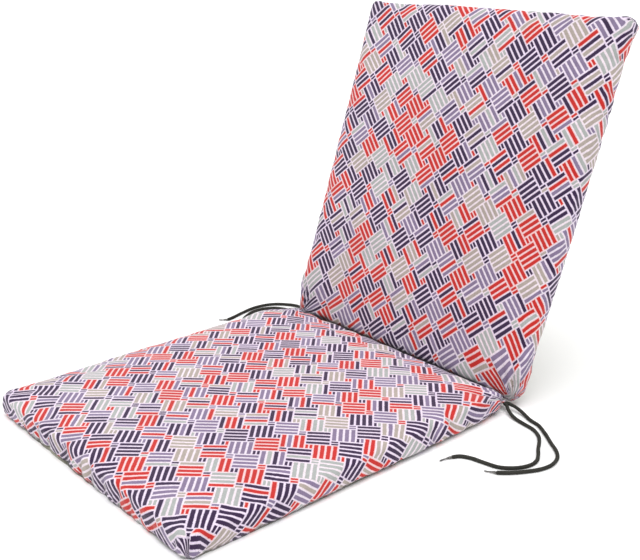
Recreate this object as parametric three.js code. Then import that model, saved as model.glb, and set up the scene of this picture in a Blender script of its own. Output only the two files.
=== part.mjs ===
// Low back chair cushion: a filled seat panel that lies flat and a filled back panel that leans behind it,
// joined by a sewn strip across the fold, with a pair of braided ties at each end of that strip.
// Millimetres, +Z up. X runs across the cushion, the seat's front is at -Y, and the underside is at z = 0.
// The origin is under the middle of the two panels' own box.
import * as THREE from 'three';
import { mergeVertices } from 'three/addons/utils/BufferGeometryUtils.js';

// Driving dimensions. Distances along a panel are counted from the edge that is sewn at the fold.
const BACK_LEAN = 19.8;                   // degrees behind upright
const SEAT = {
  length: 515,
  hingeHalfWidth: 226,
  farHalfWidth: 224.5,
  sideBulge: 3,
  farBulge: 0.8,
  hingeCorner: 20,
  farCorner: 20,
  thickness: 33.5,
  crown: 4.5,
  underCrown: 0,
  seamHeight: 16,                         // of the widest line round the free edges, above the underside
  hingeSeamHeight: 10,                    // of the sewn edge
  hingeTopRun: 28,                        // how far the top face slopes down to the sewn edge
  hingeUnderRun: 18,
};
const BACK = {
  length: 523,
  hingeHalfWidth: 229,
  farHalfWidth: 234,
  sideBulge: 1.5,
  farBulge: 4,
  hingeCorner: 20,
  farCorner: 15,
  thickness: 34,
  crown: 4,
  underCrown: 3,
  seamHeight: 17,
  hingeSeamHeight: 23,                    // the sewn edge lies near the front face
  hingeTopRun: 14,
  hingeUnderRun: 24,
};
const EDGE_RUN = 14;                      // how far the roundings of a panel's free edges reach inwards
const EDGE_SQUARENESS = 2.7;              // 2 would be an ellipse
const HINGE_SQUARENESS = 2.1;
const SEWN_FADE = 36;                     // along the fold, from a free corner to the sewn edge's own rounding
const SEAT_TIP_Y = -4.5;                  // the seat's sewn edge, from the fold line
const BACK_FOOT = { y: 15.5, z: 5.5 };    // middle of the back panel's lower edge, from the fold line
const GAP = 0.3;                          // between neighbouring pieces

// The strip of doubled, stitched cover across the fold, as its cross-section.
const WEB = { halfLength: 216, front: -4.2, rearTop: 5.2, rearUnder: 6.4, top: 10.4, under: 8 };

// Soft dips of both panels' faces beside the fold. x and width run along the fold.
const HINGE_DIPS = [
  { x: -168, width: 46, depth: 2.2 },
  { x: -92, width: 34, depth: 1.3 },
  { x: -20, width: 42, depth: 1.9 },
  { x: 62, width: 36, depth: 1.4 },
  { x: 128, width: 30, depth: 2.0 },
  { x: 186, width: 30, depth: 1.2 },
];
const DIP_REACH = 42;                     // how far a dip runs into the panel
const CORNER_DROP = { depth: 9, across: 30, along: 34 };    // where the ties gather the fold's ends

// How a panel's shell is divided: steps along each stretch of its outline, the angle between the rows that
// turn round its edge, and the inner rows' share of the way out from the panel's middle.
const OUTLINE_STEPS = { hinge: 14, side: 14, far: 12, corner: 5 };
const TURN_STEP = 18;
const UNDER_ROWS = [0, 0.45, 0.8];
const TOP_ROWS = [0.93, 0.82, 0.66, 0.46, 0.23, 0];

const CORD_RADIUS = 2.25;
const CORD_SIDES = 8;
const CORD_STEP = 13;
const CORD_LIE = 2.4;                     // height of a cord's middle line where it lies on the surface
const TIP = { startRadius: 1.2, endRadius: 0.7, height: 1.4 };

// Each tie from the strip's end to its cut end, then the end of its thin sealed tip. y is from the fold line.
const TIES = [
  {
    name: 'right_outer',
    points: [
      [216.5, 4, 8.6], [223, 4, 8.6], [231, 5, 7.6], [241, 4.6, 5.4], [251, 2.4, 3.4],
      [263.5, -2.5, CORD_LIE], [279.8, -6.5, CORD_LIE], [299.7, -18.8, CORD_LIE], [318.1, -32.6, CORD_LIE],
      [336, -45.6, CORD_LIE], [346.4, -58.4, CORD_LIE], [351.6, -77, CORD_LIE], [349, -94.7, CORD_LIE],
      [340.7, -112.4, CORD_LIE], [329.4, -129.8, CORD_LIE], [317.9, -142.1, CORD_LIE],
    ],
    tip: [305.1, -147.9],
  },
  {
    name: 'right_inner',
    points: [
      [216.5, -0.8, 8.6], [222, -1, 8.5], [231, -7.6, 6.4], [242, -13, 4], [253, -15.8, 2.7],
      [264.2, -17.6, CORD_LIE], [282.2, -21, CORD_LIE], [297.2, -30, CORD_LIE], [308, -43, CORD_LIE],
      [317, -57.2, CORD_LIE], [326, -69.4, CORD_LIE], [332.9, -81, CORD_LIE], [335, -93, CORD_LIE],
      [331.6, -107.4, CORD_LIE], [322.8, -121, CORD_LIE], [311.6, -129.6, CORD_LIE],
      [293, -134.4, CORD_LIE], [276.5, -137.8, CORD_LIE], [264.8, -144, CORD_LIE], [258.3, -154.6, CORD_LIE],
    ],
    tip: [254, -170.3],
  },
  {
    name: 'left_outer',
    points: [
      [-216.5, 4, 8.6], [-223, 4.6, 8.5], [-233.4, 14, 7.6], [-243, 26, 6], [-255, 34, 4],
      [-268, 33.6, 2.8], [-281, 26.2, CORD_LIE], [-294, 13.2, CORD_LIE], [-302.2, -4.8, CORD_LIE],
      [-303.8, -27.6, CORD_LIE], [-299, -54, CORD_LIE], [-292.4, -78, CORD_LIE], [-290, -92.3, CORD_LIE],
    ],
    tip: [-301, -101.8],
  },
  {
    name: 'left_inner',
    points: [
      [-216.5, -0.8, 8.6], [-223, -0.8, 8.5], [-233.4, 3, 7.2], [-244, 7.2, 5.6], [-256, 9.6, 4],
      [-268, 8.2, 2.8], [-279.6, 1.6, CORD_LIE], [-289.4, -15, CORD_LIE], [-290.6, -38.4, CORD_LIE],
      [-280.4, -61.4, CORD_LIE], [-267, -82.6, CORD_LIE], [-258, -106, CORD_LIE], [-255, -131, CORD_LIE],
      [-258, -156, CORD_LIE], [-263, -179, CORD_LIE],
    ],
    tip: [-262, -194],
  },
];

const cloth = { color: 0xb8a6b4, roughness: 0.9, metalness: 0 };
const clothOfBack = { color: 0xa9869c, roughness: 0.9, metalness: 0 };
const clothOfStrip = { color: 0xb4aab0, roughness: 0.9, metalness: 0 };
const braid = { color: 0x2b2d2a, roughness: 0.8, metalness: 0 };
const sealedBraid = { color: 0x6a6a66, roughness: 0.5, metalness: 0 };

function namedMesh(name, geometry, finish) {
  const mesh = new THREE.Mesh(geometry, new THREE.MeshStandardMaterial(finish));
  mesh.name = name;
  return mesh;
}

const bell = (distance, width) => Math.exp(-((distance / width) ** 2));

// A panel's half width at a distance from its sewn edge.
function halfWidth(panel, along) {
  const share = along / panel.length;
  const straight = THREE.MathUtils.lerp(panel.hingeHalfWidth, panel.farHalfWidth, share);
  return straight + panel.sideBulge * (1 - (2 * share - 1) ** 2);
}

// How far the faces swell past the panel's edge thickness: full over the middle, none at the edges.
function swell(panel, x, along) {
  const across = Math.min(1, Math.abs(x) / halfWidth(panel, along));
  const lengthways = Math.min(1, Math.abs((2 * along) / panel.length - 1));
  return (1 - across ** 3) * (1 - lengthways ** 3);
}

function topHeight(panel, x, along) {
  let height = panel.thickness + panel.crown * swell(panel, x, along);
  for (const dip of HINGE_DIPS) {
    height -= dip.depth * bell(x - dip.x, dip.width) * bell(along, DIP_REACH);
  }
  const fromSide = halfWidth(panel, along) - Math.abs(x);
  return height - CORNER_DROP.depth * bell(fromSide, CORNER_DROP.across) * bell(along, CORNER_DROP.along);
}

const underHeight = (panel, x, along) => -panel.underCrown * swell(panel, x, along);

// The outline seen from above, anticlockwise from the left end of the sewn edge. Each station has its place,
// the direction straight out of the edge there, and its share of the sewn edge's rounding.
function outlineStations(panel) {
  const stations = [];
  const { length, hingeCorner, farCorner } = panel;
  const hingeEnd = panel.hingeHalfWidth - hingeCorner;
  const farEnd = panel.farHalfWidth - farCorner;

  const straightRun = (from, to, out, count, place) => {
    for (let step = 0; step < count; step += 1) {
      const x = THREE.MathUtils.lerp(from[0], to[0], step / count);
      const along = THREE.MathUtils.lerp(from[1], to[1], step / count);
      stations.push(place(x, along, out));
    }
  };
  const cornerRun = (centreX, centreAlong, radius, startAngle) => {
    const squareHalfWidth = halfWidth(panel, centreAlong > length / 2 ? length : 0);
    for (let step = 0; step < OUTLINE_STEPS.corner; step += 1) {
      const angle = THREE.MathUtils.degToRad(startAngle + (90 * step) / OUTLINE_STEPS.corner);
      const out = [Math.cos(angle), Math.sin(angle)];
      const along = centreAlong + radius * out[1];
      const bulged = out[0] * (halfWidth(panel, along) - squareHalfWidth);
      stations.push({ x: centreX + radius * out[0] + bulged, along, out, sewn: 0 });
    }
  };
  const onHinge = (x, along, out) => {
    const sewn = THREE.MathUtils.smoothstep(hingeEnd - Math.abs(x), 0, SEWN_FADE);
    return { x, along, out, sewn };
  };
  const onSide = (x, along, out) => ({ x: out[0] * halfWidth(panel, along), along, out, sewn: 0 });
  const onFar = (x, along, out) => {
    const bulge = panel.farBulge * (1 - (x / panel.farHalfWidth) ** 2);
    return { x, along: along + bulge, out, sewn: 0 };
  };

  straightRun([-hingeEnd, 0], [hingeEnd, 0], [0, -1], OUTLINE_STEPS.hinge, onHinge);
  cornerRun(hingeEnd, hingeCorner, hingeCorner, -90);
  straightRun([0, hingeCorner], [0, length - farCorner], [1, 0], OUTLINE_STEPS.side, onSide);
  cornerRun(farEnd, length - farCorner, farCorner, 0);
  straightRun([farEnd, length], [-farEnd, length], [0, 1], OUTLINE_STEPS.far, onFar);
  cornerRun(-farEnd, length - farCorner, farCorner, 90);
  straightRun([0, length - farCorner], [0, hingeCorner], [-1, 0], OUTLINE_STEPS.side, onSide);
  cornerRun(-hingeEnd, hingeCorner, hingeCorner, 180);
  return stations;
}

// The rows from the middle of the underside, out round the edge, to the middle of the top. turn is the
// edge's own angle in degrees, and share is how much of the way out from the panel's middle a row lies.
function panelRows() {
  const rows = UNDER_ROWS.map((share) => ({ turn: -90, share }));
  for (let turn = -90; turn <= 90; turn += TURN_STEP) {
    rows.push({ turn, share: 1 });
  }
  return rows.concat(TOP_ROWS.map((share) => ({ turn: 90, share })));
}

function rowPoint(panel, station, row) {
  const { x, along, out, sewn } = station;
  const turn = THREE.MathUtils.degToRad(row.turn);
  const above = row.turn >= 0;
  const run = THREE.MathUtils.lerp(EDGE_RUN, above ? panel.hingeTopRun : panel.hingeUnderRun, sewn);
  const squareness = THREE.MathUtils.lerp(EDGE_SQUARENESS, HINGE_SQUARENESS, sewn);
  const seam = THREE.MathUtils.lerp(panel.seamHeight, panel.hingeSeamHeight, sewn);
  const middle = panel.length / 2;
  const moved = (inwards) => [
    (x - out[0] * inwards) * row.share,
    middle + (along - out[1] * inwards - middle) * row.share,
  ];

  const place = moved(run * (1 - Math.abs(Math.cos(turn)) ** (2 / squareness)));
  const inside = moved(run);
  const face = above ? topHeight(panel, ...inside) : underHeight(panel, ...inside);
  const rise = Math.abs(Math.sin(turn)) ** (2 / squareness);
  return [...place, THREE.MathUtils.lerp(seam, face, rise)];
}

// A filled panel lying flat. It runs from its sewn edge towards +Y or -Y, as direction says.
function filledPanel(panel, direction) {
  const stations = outlineStations(panel);
  if (direction < 0) {
    stations.reverse();
  }
  const rows = panelRows();
  const pole = rows.length - 1;
  const profile = rows.map((row, index) => new THREE.Vector2(index === 0 || index === pole ? 0 : 1, index));
  const shell = new THREE.LatheGeometry(profile, stations.length);
  shell.deleteAttribute('normal');
  shell.deleteAttribute('uv');
  const places = shell.getAttribute('position');
  for (let turn = 0; turn <= stations.length; turn += 1) {
    const station = stations[turn % stations.length];
    rows.forEach((row, index) => {
      const [x, along, z] = rowPoint(panel, station, row);
      places.setXYZ(turn * rows.length + index, x, direction * along, z);
    });
  }
  return mergeVertices(shell, 1e-4);
}

function seatPanel() {
  const panel = namedMesh('seat_pad', filledPanel(SEAT, -1), cloth);
  panel.position.y = SEAT_TIP_Y;
  return panel;
}

function backPanel() {
  const panel = namedMesh('back_pad', filledPanel(BACK, 1), clothOfBack);
  panel.position.z = -BACK.thickness / 2;
  const leaning = new THREE.Group();
  leaning.position.set(0, BACK_FOOT.y, BACK_FOOT.z);
  leaning.rotation.x = THREE.MathUtils.degToRad(90 - BACK_LEAN);
  leaning.add(panel);
  return leaning;
}

// The strip's section is drawn in Y and Z, and the extrusion runs along X.
function hingeStrip() {
  const section = new THREE.Shape([
    new THREE.Vector2(WEB.front, WEB.under),
    new THREE.Vector2(WEB.rearUnder, WEB.under),
    new THREE.Vector2(WEB.rearTop, WEB.top),
    new THREE.Vector2(WEB.front, WEB.top),
  ]);
  const strip = new THREE.ExtrudeGeometry(section, { depth: 2 * WEB.halfLength, steps: 1, bevelEnabled: false });
  strip.translate(0, 0, -WEB.halfLength);
  const drawnToBuilt = new THREE.Matrix4().makeBasis(
    new THREE.Vector3(0, 1, 0),
    new THREE.Vector3(0, 0, 1),
    new THREE.Vector3(1, 0, 0),
  );
  strip.applyMatrix4(drawnToBuilt);
  return namedMesh('hinge_web', strip, clothOfStrip);
}

function tieRoute(tie) {
  const points = tie.points.map((point) => new THREE.Vector3(...point));
  return new THREE.CatmullRomCurve3(points, false, 'centripetal');
}

function tieCord(tie) {
  const route = tieRoute(tie);
  const corners = [];
  for (let side = 0; side < CORD_SIDES; side += 1) {
    const angle = ((side + 0.5) * 2 * Math.PI) / CORD_SIDES;
    corners.push(new THREE.Vector2(CORD_RADIUS * Math.cos(angle), CORD_RADIUS * Math.sin(angle)));
  }
  const section = new THREE.Shape(corners);
  const steps = Math.round(route.getLength() / CORD_STEP);
  const cord = new THREE.ExtrudeGeometry(section, { steps, extrudePath: route, bevelEnabled: false });
  return namedMesh(`tie_cord_${tie.name}`, cord, braid);
}

function tieTip(tie) {
  const route = tieRoute(tie);
  const cut = route.getPoint(1);
  const straightOn = route.getTangent(1);
  const end = new THREE.Vector3(...tie.tip, TIP.height);
  const direction = end.clone().sub(cut).normalize();
  const clearance = GAP + TIP.startRadius * Math.sin(direction.angleTo(straightOn));
  const start = cut.addScaledVector(straightOn, clearance);
  const taper = new THREE.CylinderGeometry(TIP.endRadius, TIP.startRadius, start.distanceTo(end), CORD_SIDES);
  const tip = namedMesh(`tie_tip_${tie.name}`, taper, sealedBraid);
  tip.position.copy(start).add(end).multiplyScalar(0.5);
  tip.quaternion.setFromUnitVectors(new THREE.Vector3(0, 1, 0), end.sub(start).normalize());
  return tip;
}

const cushion = new THREE.Group();
cushion.add(seatPanel(), backPanel(), hingeStrip());
const ownBox = new THREE.Box3().setFromObject(cushion, true);
for (const tie of TIES) {
  cushion.add(tieCord(tie), tieTip(tie));
}
cushion.position.y = -(ownBox.min.y + ownBox.max.y) / 2;

export default cushion;
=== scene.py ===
"""Low back chair cushion: the padded canvas panels, the sewn strip at the fold and the braided ties.

The row frame is in metres, +Z up. Each padded panel is worked in its own flat frame: x across it, y along
it from its sewn edge, z up from its reverse. A placing matrix then takes it to the row frame.
"""
import math
from dataclasses import dataclass

import bpy
import numpy as np
from bpy.props import FloatProperty, FloatVectorProperty, IntProperty, PointerProperty
from mathutils import Matrix, Vector


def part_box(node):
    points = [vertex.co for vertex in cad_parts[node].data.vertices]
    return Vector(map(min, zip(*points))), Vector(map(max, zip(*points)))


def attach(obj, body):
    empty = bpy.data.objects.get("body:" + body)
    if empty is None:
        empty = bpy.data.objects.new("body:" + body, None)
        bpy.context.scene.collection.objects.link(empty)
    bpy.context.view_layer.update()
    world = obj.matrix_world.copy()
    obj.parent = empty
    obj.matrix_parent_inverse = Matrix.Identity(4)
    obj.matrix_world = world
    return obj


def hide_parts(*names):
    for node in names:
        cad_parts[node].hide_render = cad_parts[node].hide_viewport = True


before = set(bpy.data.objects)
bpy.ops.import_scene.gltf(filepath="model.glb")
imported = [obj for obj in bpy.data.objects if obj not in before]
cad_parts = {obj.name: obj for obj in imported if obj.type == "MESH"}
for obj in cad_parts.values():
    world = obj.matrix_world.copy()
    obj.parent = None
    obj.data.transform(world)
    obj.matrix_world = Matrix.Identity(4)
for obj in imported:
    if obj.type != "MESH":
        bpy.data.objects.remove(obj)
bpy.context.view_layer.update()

bl_info = {
    "name": "Low back chair cushion",
    "version": (1, 0, 0),
    "blender": (4, 5, 0),
    "location": "3D View > Sidebar > Cushion",
    "description": "Makes a filled seat and back cushion in printed canvas, with braided ties at the fold",
    "category": "Add Mesh",
}

BODY = "root"
CANVAS_SLOT = "printed_canvas"
CORD_SLOT = "braided_cord"
CORD_END_SLOT = "sealed_cord_end"

# The maps and numbers that the pieces carry for their materials, and each panel point's place before filling.
CLOTH_MAP = "cloth"
REVERSE_MAP = "reverse_cloth"
BELOW_SEAM = "below_seam"
# How far the canvas colour is darkened as painted shade, in the fold between the panels and in the puckers'
# valleys.
PAINTED_SHADE = "painted_shade"
RELIEF = "relief"
REST = "rest_place"

# The seat's sewn edge lies this far in front of the fold line. The back's foot is behind and above that line.
SEAT_EDGE_SETBACK = 0.0045
SEAT_EDGE_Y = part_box("seat_pad")[1].y
FOLD_Y = SEAT_EDGE_Y + SEAT_EDGE_SETBACK
BACK_LEAN = math.radians(19.8)
BACK_FOOT = Vector((0, FOLD_Y + 0.0155, 0.0055))
BACK_THICKNESS = 0.034

# The roundings of a panel's free edges: how far they reach inwards, and how square they are.
EDGE_RUN = 0.014
EDGE_SQUARENESS = 2.7
SEWN_SQUARENESS = 2.1
SEWN_FADE = 0.036
CORNER_BLEND = 0.010
EDGE_STEPS = 24

# How far in from the edges the filled panel is stretched back to its outline, the band in which it is
# measured, and how much smaller than the outline it is left.
OUTLINE_REACH = 0.070
OUTLINE_BAND = 0.0015
OUTLINE_SLACK = 0.0007

# The seam where the print meets the reverse: its height at the free edges, its rise on one half of the free
# end, how far it lies below the middle of the sewn edge, its waviness and its groove.
SEAM_HEIGHT = 0.0009
SEAM_RISE = 0.0021
SEAM_RISE_X = 0.075
SEAM_RISE_WIDTH = 0.060
SEAM_UNDER_FOLD = 0.003
SEAM_WAVE = 0.0004
SEAM_GROOVE = 0.0011
SEAM_GROOVE_WIDTH = 0.0022

# From one pucker to the next on the sides, on the free end, beside the fold and along the seam.
SIDE_PITCH = 0.034
FREE_PITCH = 0.031
SEWN_PITCH = 0.037
FINE_PITCH = 0.0125

# Where the puckers of the free edges start and are deepest, measured from the start of the edge's rounding,
# and how far they run under. Then the same for those beside the fold, and how far in from the edge those lie.
PUCKER_ON_FACE = (-0.020, 0.030)
PUCKER_UNDER = 0.010
SEWN_ON_FACE = (-0.060, 0.004)
SEWN_UNDER = 0.02
SEWN_WITHIN = 0.08

# The fine puckers: their depth, how far they run from the seam on the sides and on the free end, and the wall
# of the edge, where they and the groove lie.
FINE_PUCKER = 0.0012
FINE_ON_SIDES = 0.009
FINE_ON_END = 0.015
WALL_IN = 0.014
WALL_FADE = 0.012

# How much of the cloth's slide into the valleys the print shows: at the wide puckers, at those beside the
# fold, and at the fine ones on the free end and on the sides.
WIDE_GATHER = 0.55
SEWN_GATHER = 0.35
FINE_END_GATHER = 0.8
FINE_SIDE_GATHER = 0.6

# The free corners: the width and reach of their point, and the dart below it.
POINT_WIDTH = 0.0085
POINT_REACH = (0.016, 0.002)
DART_WIDTH = 0.0022
DART_DEPTH = 0.0018
DART_STARTS = (0.004, 0.016)

# Where the ties leave the fold: how far out, how deep and how close the folds fan out from there, where they
# start and fade, how much the cloth is drawn in within two distances, and how tightly the print lies there.
TIE_EXIT_X = 0.2195
FAN_DEPTH = 0.0032
FAN_FOLDS = 9.5
FAN_STARTS = (0.004, 0.016)
FAN_FADES_FROM = 0.018
FAN_FADE = 0.036
PULLS = ((0.10, 0.030), (0.24, 0.017))
PINCH = 3.2
PINCH_REACH = 0.0155
PINCH_FADE = (0.13, 0.03)

# Where the two fillings press on each other at the fold: how far in from the edge, and at which height.
FOLD_WALL_IN = 0.03
FOLD_WALL_FADE = 0.016
FOLD_PRESS_HEIGHT = 0.024
FOLD_PRESS_WIDTH = 0.012

# A firmer bend where the face turns down into the side: its height, place and width. Then the filling's
# unevenness: how fast each wave runs across and along, its share of the panel's phase, its own phase and its
# weight.
FIRM_BEND = 0.0014
FIRM_AT = 0.010
FIRM_WIDTH = 0.007
UNEVENNESS = 0.0009
SOFT_WAVES = (
    (31.0, 17.0, 1.0, 0.0, 0.35),
    (-23.0, 39.0, 1.7, 1.0, 0.30),
    (67.0, -29.0, 0.6, 2.0, 0.20),
    (51.0, 83.0, 2.9, 0.0, 0.15),
)

# The painted shade, which darkens the canvas colour in the fold between the panels and in the valleys: how
# softly the fold's ends, how scalloped that edge is by the two kinds of pucker, how dark it is where the ties
# leave, and how much each kind of valley adds.
SHADE_EDGE = 0.0015
SHADE_SCALLOPS = (0.0022, -0.0006)
EXIT_SHADE = 0.62
EXIT_SHADE_REACH = 0.0130
VALLEY_SHADE = 0.36
FINE_SHADE = 0.8
SIDE_SHADE = 0.6
FAN_SHADE = 1.4
DART_SHADE = 1.3
DART_SHADE_WIDTH = 0.0013

# Points that are held while the panel fills: this close to the sewn edge, and this low where it rests. Points
# under the next height end on the surface.
HELD_SEWN = 0.008
HELD_RESTING = 0.0015
RESTING = 0.0012

# The braid: its rings' step, the length in which its strands repeat, the strands' relief, the cord's
# unevenness and the rounding of its ends.
BRAID_STEP = 0.00055
STRAND_REPEAT = 0.0021
STRAND_RELIEF = 0.075
CORD_UNEVENNESS = 0.035
CUT_ROUNDING = 0.003
POINTS_PER_STRAND = 4

# The sealed end: its radius where it leaves the braid and at its tip, how far it starts inside the braid, its
# bend, its rings' step and its sides.
END_RADIUS = 0.0016
END_TIP_RADIUS = 0.00085
END_INSIDE = 0.0015
END_BEND = 0.0012
END_STEP = 0.0005
END_SIDES = 16

# The sewn strip: rows and stations of its faces, how much its sewn middle is thinned, its edges' waviness,
# and its stitches.
STRIP_ROWS = 4
STRIP_STATIONS = 216
STRIP_THINNING = 0.0005
STRIP_WAVE = 0.00025
STITCH_PITCH = 0.0042
STITCH_LENGTH = 0.0030
STITCH_RADIUS = 0.00035
STITCH_ROUNDING = 0.00022
STITCH_SINK = 0.0003

# The studio.
FLOOR_SIZE = 60.0
KEY_FROM = (0.25, -0.25, 2.6)
CAMERA_PLACE = Vector((0.92074, -0.79650, 0.59732))
CAMERA_TARGET = Vector((-0.02888, 0.04077, 0.10222))
SENSOR_WIDTH = 36.0


@dataclass(frozen=True)
class PaddedPanel:
    """Sizes of one filled panel in its flat frame, and its place in the row frame."""

    node: str
    name: str
    length: float
    sewn_half_width: float
    free_half_width: float
    side_bulge: float
    free_bulge: float
    sewn_corner: float
    free_corner: float
    corner_point: float
    thickness: float
    middle_height: float
    sewn_height: float
    sewn_top_run: float
    sewn_under_run: float
    free_pucker: float
    side_pucker: float
    sewn_pucker: float
    shade_reach: float
    fold_press: float
    fold_fullness: float
    phase: float
    print_sign: float
    rests: bool
    place: Matrix


SEAT = PaddedPanel(
    node="seat_pad",
    name="seat_cushion",
    length=0.515,
    sewn_half_width=0.226,
    free_half_width=0.2245,
    side_bulge=0.003,
    free_bulge=0.0008,
    sewn_corner=0.020,
    free_corner=0.020,
    corner_point=0.0,
    thickness=0.0335,
    middle_height=0.016,
    sewn_height=0.010,
    sewn_top_run=0.028,
    sewn_under_run=0.018,
    free_pucker=0.0042,
    side_pucker=0.0018,
    sewn_pucker=0.0022,
    shade_reach=0.0058,
    fold_press=0.0048,
    fold_fullness=0.0020,
    phase=0.0,
    print_sign=-1.0,
    rests=True,
    place=Matrix.Translation((0, SEAT_EDGE_Y, 0)) @ Matrix.Rotation(math.pi, 4, "Z"),
)
BACK = PaddedPanel(
    node="back_pad",
    name="back_cushion",
    length=0.523,
    sewn_half_width=0.229,
    free_half_width=0.234,
    side_bulge=0.0015,
    free_bulge=0.004,
    sewn_corner=0.020,
    free_corner=0.015,
    corner_point=0.0016,
    thickness=BACK_THICKNESS,
    middle_height=0.017,
    sewn_height=0.023,
    sewn_top_run=0.014,
    sewn_under_run=0.024,
    free_pucker=0.0020,
    side_pucker=0.0016,
    sewn_pucker=0.0018,
    shade_reach=0.0104,
    fold_press=0.0022,
    fold_fullness=0.0006,
    phase=2.1,
    print_sign=1.0,
    rests=False,
    place=(
        Matrix.Translation(BACK_FOOT)
        @ Matrix.Rotation(math.pi / 2 - BACK_LEAN, 4, "X")
        @ Matrix.Translation((0, 0, -BACK_THICKNESS / 2))
    ),
)

# Each tie's route from the strip's end to its cut end, and the end of its sealed tip, in millimetres.
# y is from the fold line.
LIE = 2.4
TIES = {
    "right_outer": {
        "route": (
            (216.5, 4, 8.6), (223, 4, 8.6), (231, 5, 7.6), (241, 4.6, 5.4), (251, 2.4, 3.4),
            (263.5, -2.5, LIE), (279.8, -6.5, LIE), (299.7, -18.8, LIE), (318.1, -32.6, LIE),
            (336, -45.6, LIE), (346.4, -58.4, LIE), (351.6, -77, LIE), (349, -94.7, LIE),
            (340.7, -112.4, LIE), (329.4, -129.8, LIE), (317.9, -142.1, LIE),
        ),
        "tip": (305.1, -147.9, 1.4),
    },
    "right_inner": {
        "route": (
            (216.5, -0.8, 8.6), (222, -1, 8.5), (231, -7.6, 6.4), (242, -13, 4), (253, -15.8, 2.7),
            (264.2, -17.6, LIE), (282.2, -21, LIE), (297.2, -30, LIE), (308, -43, LIE),
            (317, -57.2, LIE), (326, -69.4, LIE), (332.9, -81, LIE), (335, -93, LIE),
            (331.6, -107.4, LIE), (322.8, -121, LIE), (311.6, -129.6, LIE), (293, -134.4, LIE),
            (276.5, -137.8, LIE), (264.8, -144, LIE), (258.3, -154.6, LIE),
        ),
        "tip": (254, -170.3, 1.4),
    },
    "left_outer": {
        "route": (
            (-216.5, 4, 8.6), (-223, 4.6, 8.5), (-233.4, 14, 7.6), (-243, 26, 6), (-255, 34, 4),
            (-268, 33.6, 2.8), (-281, 26.2, LIE), (-294, 13.2, LIE), (-302.2, -4.8, LIE),
            (-303.8, -27.6, LIE), (-299, -54, LIE), (-292.4, -78, LIE), (-290, -92.3, LIE),
        ),
        "tip": (-301, -101.8, 1.4),
    },
    "left_inner": {
        "route": (
            (-216.5, -0.8, 8.6), (-223, -0.8, 8.5), (-233.4, 3, 7.2), (-244, 7.2, 5.6),
            (-256, 9.6, 4), (-268, 8.2, 2.8), (-279.6, 1.6, LIE), (-289.4, -15, LIE),
            (-290.6, -38.4, LIE), (-280.4, -61.4, LIE), (-267, -82.6, LIE), (-258, -106, LIE),
            (-255, -131, LIE), (-258, -156, LIE), (-263, -179, LIE),
        ),
        "tip": (-262, -194, 1.4),
    },
}


# Settings that a user would change

def colour(name, description, default):
    return FloatVectorProperty(name=name, description=description, default=default, subtype="COLOR", size=3)


def length(name, description, default):
    return FloatProperty(name=name, description=description, default=default, unit="LENGTH")


class PrintSettings(bpy.types.PropertyGroup):
    """The printed canvas."""

    block: length("Block", "Side of one large block of printed bars", 0.030)
    slant: FloatProperty(
        name="Slant", description="Turn of the print on the cloth", default=math.radians(45),
        unit="ROTATION",
    )
    thread: length("Thread spacing", "Distance between two threads", 0.0008)
    red: colour("Red", "Red bars", (0.56, 0.020, 0.016))
    indigo: colour("Indigo", "Dark bars", (0.033, 0.013, 0.054))
    lavender: colour("Lavender", "Middle bars", (0.235, 0.178, 0.295))
    beige: colour("Beige", "Pale warm bars", (0.42, 0.36, 0.32))
    stone: colour("Stone", "Pale grey-green bars", (0.40, 0.42, 0.41))
    paper: colour("Paper", "Unprinted cloth", (0.81, 0.71, 0.77))
    reverse: colour("Reverse", "Plain cloth of the reverse", (0.27, 0.26, 0.185))
    reverse_slub: colour("Reverse slubs", "Thicker threads of the reverse", (0.40, 0.385, 0.30))


class PaddingSettings(bpy.types.PropertyGroup):
    """How the panels are filled."""

    voxel: length("Grain", "Edge of one remeshed face", 0.005)
    slack: length("Slack", "How much smaller a panel starts", 0.0018)
    pressure: FloatProperty(name="Pressure", description="Pressure of the filling", default=4.0)
    swell: length("Swell", "Furthest that the filling pushes the cloth", 0.0032)
    frames: IntProperty(name="Frames", description="Steps of the filling", default=20)


class CordSettings(bpy.types.PropertyGroup):
    """The braided ties."""

    radius: length("Radius", "Half a tie's thickness", 0.00225)
    strands: IntProperty(name="Strands", description="Strands that wind each way", default=8)
    dark: colour("Dark", "Colour of the braid", (0.009, 0.009, 0.008))
    # The raised threads are painted towards this colour, as a highlight where they catch the light.
    raised_thread_highlight: colour("Fleck", "Colour of the braid's raised threads", (0.052, 0.051, 0.043))


class StageSettings(bpy.types.PropertyGroup):
    """Camera and light."""

    lens: FloatProperty(name="Lens", description="Focal length", default=53.56, unit="CAMERA")
    shift: FloatProperty(name="Shift", description="Vertical shift of the lens", default=0.0471)
    sky: FloatProperty(name="Sky", description="Strength of the light from all round", default=0.72)
    key: FloatProperty(name="Key", description="Strength of the soft light from above", default=2.05)
    softness: FloatProperty(
        name="Softness", description="Angle that the soft light comes from", default=math.radians(60),
        unit="ROTATION"
    )


class CushionSettings(bpy.types.PropertyGroup):
    """All the settings of the cushion."""

    canvas: PointerProperty(type=PrintSettings)
    padding: PointerProperty(type=PaddingSettings)
    cord: PointerProperty(type=CordSettings)
    stage: PointerProperty(type=StageSettings)


def settings():
    return bpy.context.scene.chair_cushion


# Shader nodes

def node(tree, kind, *values, out=0, **options):
    """Adds a node, sets its options and feeds its inputs in order. Gives one of its outputs."""
    made = tree.nodes.new(kind)
    for name, value in options.items():
        setattr(made, name, value)
    for socket, value in zip(made.inputs, values):
        feed(tree, socket, value)
    return made.outputs[out]


def feed(tree, socket, value):
    if value is None:
        return
    if isinstance(value, bpy.types.NodeSocket):
        tree.links.new(value, socket)
    else:
        socket.default_value = value


def maths(tree, operation, *values):
    return node(tree, "ShaderNodeMath", *values, operation=operation)


def vector_maths(tree, operation, *values):
    return node(tree, "ShaderNodeVectorMath", *values, operation=operation)


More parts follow.
